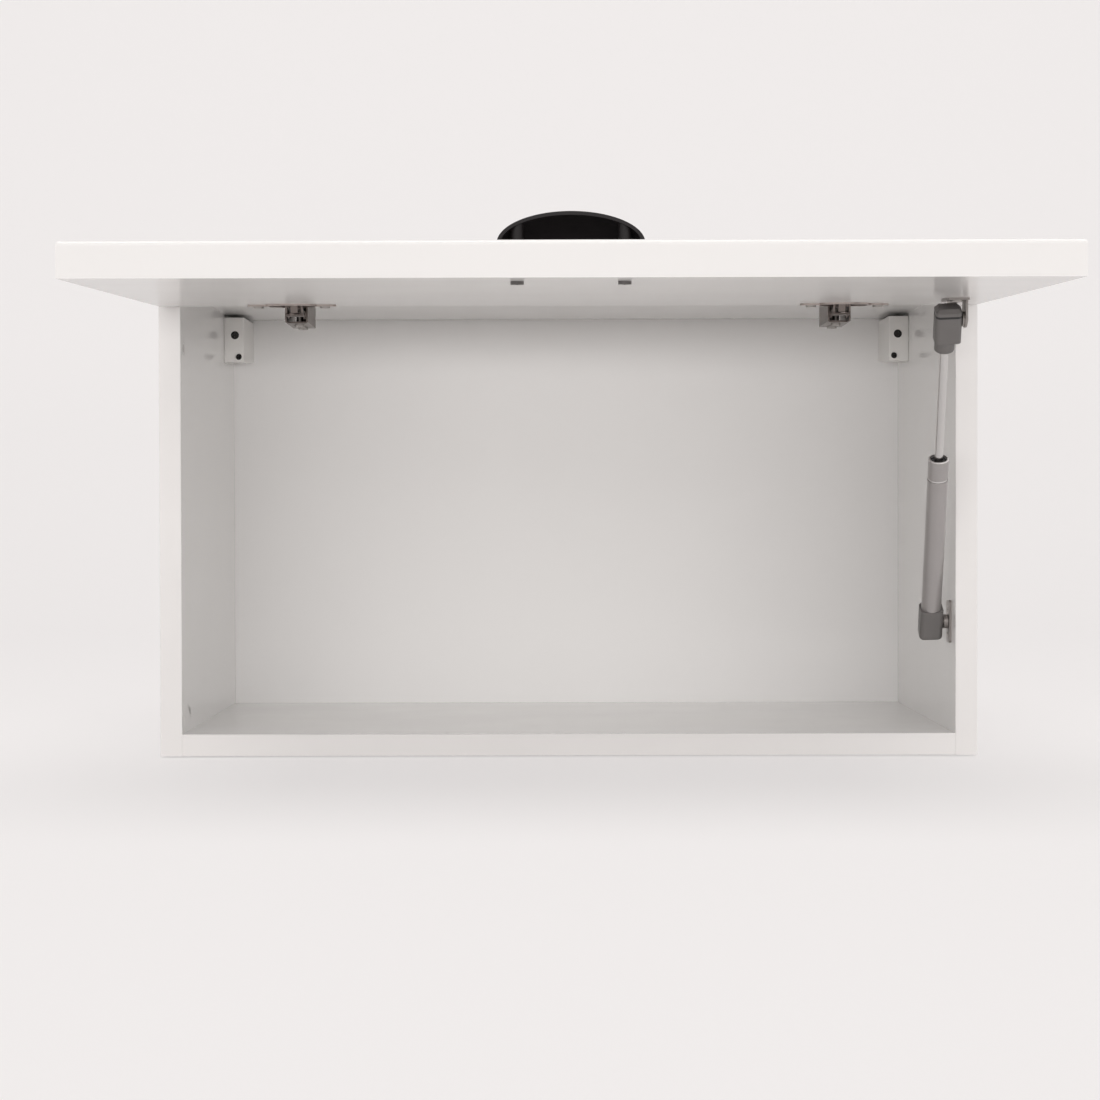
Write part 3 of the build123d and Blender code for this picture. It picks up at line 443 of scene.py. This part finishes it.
# The front edge bands
# Strips of white plastic, 0.8 mm thick, glued to the front edges and scraped round along
# their corners. They are less shiny than the faces and have a fine peel.
def smooth_finish(name, colour, tone, gloss, peel):
    """A moulded, lacquered or foiled face.

    The tone is the scale and amount of its drift, the gloss its scale and two ends, and the
    peel its scale, its strength and its height.
    """
    finish, tree, shader, place = new_finish(name)
    at = place.outputs["Object"]
    scale, amount = tone
    drift = use_group(tree, tone_drift, Vector=at, Colour=colour, Scale=scale, Amount=amount)
    tree.links.new(drift["Colour"], shader.inputs["Base Color"])
    scale, low, high = gloss
    rough = use_group(tree, gloss_drift, Vector=at, Scale=scale, Low=low, High=high)
    tree.links.new(rough["Roughness"], shader.inputs["Roughness"])
    scale, strength, distance = peel
    waves = use_group(tree, orange_peel, Vector=at, Scale=scale)
    add_bump(tree, shader, waves["Height"], strength, distance)
    return finish


edging = smooth_finish(
    "edge_band",
    colour=(0.81, 0.79, 0.78, 1),
    tone=(14.0, 0.04),
    gloss=(40.0, 0.24, 0.36),
    peel=(900.0, 0.18, 0.00005),
)
dress(edging, "edge_band_left", "edge_band_right", "edge_band_top", "edge_band_bottom")


# The carcass screws and their caps
# Long steel screws pull the sides to the top and bottom. Each sits under a white moulded cap
# that is pressed into its socket, flush with the side.
cap_plastic = smooth_finish(
    "cap_plastic",
    colour=(0.82, 0.815, 0.80, 1),
    tone=(120.0, 0.03),
    gloss=(300.0, 0.28, 0.4),
    peel=(2200.0, 0.25, 0.00004),
)
dress(cap_plastic, "screw_caps")

# Drawn grain: fine lines along one axis, for plated and drawn metal
drawn_grain, given, made = start_group(
    "drawn_grain",
    [("Vector", "vector"), ("Stretch", "vector"), ("Scale", "float")],
    [("Height", "float")],
)
run = drawn_grain.nodes.new("ShaderNodeVectorMath")
run.operation = "MULTIPLY"
drawn_grain.links.new(given.outputs["Vector"], run.inputs[0])
drawn_grain.links.new(given.outputs["Stretch"], run.inputs[1])
lines = add_noise(
    drawn_grain, run.outputs[0], given.outputs["Scale"], detail=4.0, roughness=0.65
)
drawn_grain.links.new(lines, made.inputs["Height"])


def plated(name, colour, stretch, gloss, drift=0.12):
    """A plated steel: slow drift of tone, uneven gloss and a fine drawn grain.

    The grain runs along the axis whose stretch is small, and the gloss is its two ends.
    """
    streak_share = 0.08
    low, high = gloss
    finish, tree, shader, place = new_finish(name)
    at = place.outputs["Object"]
    tone = use_group(tree, tone_drift, Vector=at, Colour=colour, Scale=160.0, Amount=drift)
    tree.links.new(tone["Colour"], shader.inputs["Base Color"])
    shader.inputs["Metallic"].default_value = 1.0
    rough = use_group(tree, gloss_drift, Vector=at, Scale=220.0, Low=low, High=high)
    grain = use_group(tree, drawn_grain, Vector=at, Stretch=stretch, Scale=900.0)
    streaks = add_math(tree, "MULTIPLY_ADD", grain["Height"], streak_share, rough["Roughness"])
    tree.links.new(streaks, shader.inputs["Roughness"])
    add_bump(tree, shader, grain["Height"], strength=0.2, distance=0.00004)
    return finish


zinc_screw = plated(
    "zinc_plated_screw",
    colour=(0.46, 0.44, 0.42, 1),
    stretch=(1, 1, 1),
    gloss=(0.24, 0.40),
    drift=0.2,
)
dress(
    zinc_screw,
    "carcass_screws",
    "hinge_plate_screws",
    "hinge_arm_screws",
    "hinge_cup_screws",
    "strut_door_screws",
    "strut_side_screws",
)


# The cabinet hangers
# Off-white moulded housings in the upper rear corners. A pressed steel hook inside each one
# reaches through the back panel, and two screws in its front set its depth and height.
hanger_plastic = smooth_finish(
    "hanger_plastic",
    colour=(0.84, 0.825, 0.80, 1),
    tone=(45.0, 0.04),
    gloss=(120.0, 0.32, 0.46),
    peel=(1800.0, 0.3, 0.00005),
)
dress(hanger_plastic, "hanger_housing_left", "hanger_housing_right")
hook_steel = plated(
    "hook_steel",
    colour=(0.52, 0.52, 0.51, 1),
    stretch=(1, 0.05, 1),
    gloss=(0.30, 0.46),
    drift=0.2,
)
dress(hook_steel, "hanger_hook_left", "hanger_hook_right")
blackened = plated(
    "blackened_screw",
    colour=(0.045, 0.043, 0.042, 1),
    stretch=(1, 1, 1),
    gloss=(0.30, 0.45),
    drift=0.3,
)
dress(blackened, "hanger_depth_screws", "hanger_height_screws")


# The hinges
# Cups, arms, plates and links are pressed from strip and nickel plated, so that they are a warm
# grey with soft streaks along the strip. Pins are riveted at their ends.
hinge_steel = plated(
    "nickel_plated_strip",
    colour=(0.46, 0.405, 0.38, 1),
    stretch=(0.04, 1, 1),
    gloss=(0.20, 0.34),
)
dress(
    hinge_steel,
    "hinge_plate_left",
    "hinge_plate_right",
    "hinge_cup_left",
    "hinge_cup_right",
    "hinge_arm_pins",
    "hinge_cup_pins",
)
# The arms and links take a darker copy of the same nickel plate: painted shade for the shadow
# in and under them
arm_steel_painted_shade = plated(
    "dark_nickel_strip",
    colour=(0.20, 0.172, 0.158, 1),
    stretch=(1, 0.04, 1),
    gloss=(0.24, 0.38),
)
dress(
    arm_steel_painted_shade,
    "hinge_arm_left",
    "hinge_arm_right",
    "inner_link_left",
    "inner_link_right",
    "outer_link_left",
    "outer_link_right",
)


# The flap
# A fibreboard door, 22 mm thick, routed in front and wrapped in white foil by a hot press, so
# that its edges are soft and its face is satin with a faint peel.
flap_foil = smooth_finish(
    "white_foil",
    colour=(0.79, 0.775, 0.765, 1),
    tone=(7.0, 0.03),
    gloss=(9.0, 0.17, 0.21),
    peel=(900.0, 0.06, 0.00005),
)
dress(flap_foil, "flap_panel")


# The handle
# A cup handle cast in zinc and coated satin black. Two machine screws pass through the flap
# into its posts.
handle_black = smooth_finish(
    "satin_black_coat",
    colour=(0.0125, 0.0105, 0.011, 1),
    tone=(70.0, 0.5),
    gloss=(90.0, 0.34, 0.48),
    peel=(1500.0, 0.35, 0.00006),
)
coat_shader = handle_black.node_tree.nodes["Principled BSDF"]
coat_shader.inputs["Specular IOR Level"].default_value = 0.3
dress(handle_black, "cup_handle")
# The screws take a zinc far darker than the carcass screws: painted shade for heads seen at a
# grazing angle under the flap
handle_screw_painted_shade = plated(
    "darkened_screw",
    colour=(0.16, 0.155, 0.15, 1),
    stretch=(1, 1, 1),
    gloss=(0.28, 0.42),
    drift=0.2,
)
dress(handle_screw_painted_shade, "handle_screws")


# The gas strut's ends
# Grey glass-filled nylon, moulded with a fine spark-eroded texture. A black spring clip holds
# the ball in the upper one; the guide and the piston are black too.
strut_plastic = smooth_finish(
    "grey_nylon",
    colour=(0.142, 0.134, 0.13, 1),
    tone=(60.0, 0.16),
    gloss=(150.0, 0.40, 0.55),
    peel=(2600.0, 0.5, 0.00006),
)
dress(strut_plastic, "strut_rod_end", "strut_tube_end")
strut_black = smooth_finish(
    "black_nylon",
    colour=(0.018, 0.018, 0.019, 1),
    tone=(80.0, 0.3),
    gloss=(150.0, 0.38, 0.5),
    peel=(2600.0, 0.4, 0.00005),
)
dress(strut_black, "strut_end_clip", "strut_piston", "strut_tube_guide")


# The rod and the tube
# The rod is ground and hard chromed. The tube is drawn steel under a grey satin lacquer with
# fine metal flake in it, and its mouth is rolled in over the guide. Light steel rings, shinier
# and more metallic, are painted at the mouth and at the crimp as a painted highlight.
rod_steel = plated(
    "ground_rod",
    colour=(0.60, 0.585, 0.575, 1),
    stretch=(0.6, 0.6, 0.03),
    gloss=(0.10, 0.18),
    drift=0.06,
)
dress(rod_steel, "strut_rod")

lower_ball = Vector((0.2695, -0.126, 0.097))
strut_line = Vector((-0.0383808, -0.4981413, 0.866246))
mouth_level = lower_ball.dot(strut_line) + 0.138
crimp_level = mouth_level - 0.0161
lacquer_grey = (0.36, 0.34, 0.335, 1)
flake_silver = (0.62, 0.61, 0.60, 1)
flake_level = 0.62
flake_share = 0.3
# The light steel colour of the painted highlight rings at the mouth and the crimp
ring_highlight_colour = (0.74, 0.73, 0.72, 1)
ragged = 0.0003
tube_paint, tree, shader, place = new_finish("grey_flake_lacquer")
at = place.outputs["Object"]
grey = use_group(tree, tone_drift, Vector=at, Colour=lacquer_grey, Scale=40.0, Amount=0.1)
flakes = add_math(tree, "GREATER_THAN", add_noise(tree, at, 5200.0, detail=1.0), flake_level)
flaked = add_math(tree, "MULTIPLY", flakes, flake_share)
lacquer = add_mix(tree, flaked, grey["Colour"], flake_silver)
along = tree.nodes.new("ShaderNodeVectorMath")
along.operation = "DOT_PRODUCT"
along.inputs[1].default_value = strut_line
tree.links.new(at, along.inputs[0])


def highlight_ring(level, reach):
    """A mask of a ring round the tube at a level, where a painted highlight goes."""
    off = add_math(tree, "ABSOLUTE", add_math(tree, "SUBTRACT", along.outputs["Value"], level))
    edge = add_math(tree, "MULTIPLY_ADD", add_noise(tree, at, 900.0), ragged, off)
    return add_math(tree, "LESS_THAN", edge, reach)


# Painted highlight: light steel colour, more metal and less roughness in two rings
mouth_highlight = highlight_ring(mouth_level, reach=0.00075)
crimp_highlight = highlight_ring(crimp_level, reach=0.00055)
highlight_rings = add_math(tree, "MAXIMUM", mouth_highlight, crimp_highlight)
tree.links.new(add_mix(tree, highlight_rings, lacquer, ring_highlight_colour), shader.inputs["Base Color"])
tree.links.new(add_math(tree, "MULTIPLY_ADD", highlight_rings, 0.45, 0.5), shader.inputs["Metallic"])
gloss = use_group(tree, gloss_drift, Vector=at, Scale=90.0, Low=0.28, High=0.38)
rough = add_math(tree, "MULTIPLY_ADD", highlight_rings, -0.12, gloss["Roughness"])
tree.links.new(rough, shader.inputs["Roughness"])
peel = use_group(tree, orange_peel, Vector=at, Scale=1300.0)
add_bump(tree, shader, peel["Height"], strength=0.25, distance=0.00005)
dress(tube_paint, "strut_tube")


# The strut's bracket, plate and studs
# Zinc-plated steel, stamped and bent, with the ball studs turned and riveted in.
bracket_steel = plated(
    "zinc_plated_strip",
    colour=(0.34, 0.315, 0.30, 1),
    stretch=(1, 1, 0.06),
    gloss=(0.26, 0.42),
    drift=0.2,
)
dress(
    bracket_steel,
    "strut_door_bracket",
    "strut_side_plate",
    "strut_door_ball",
    "strut_side_ball",
)
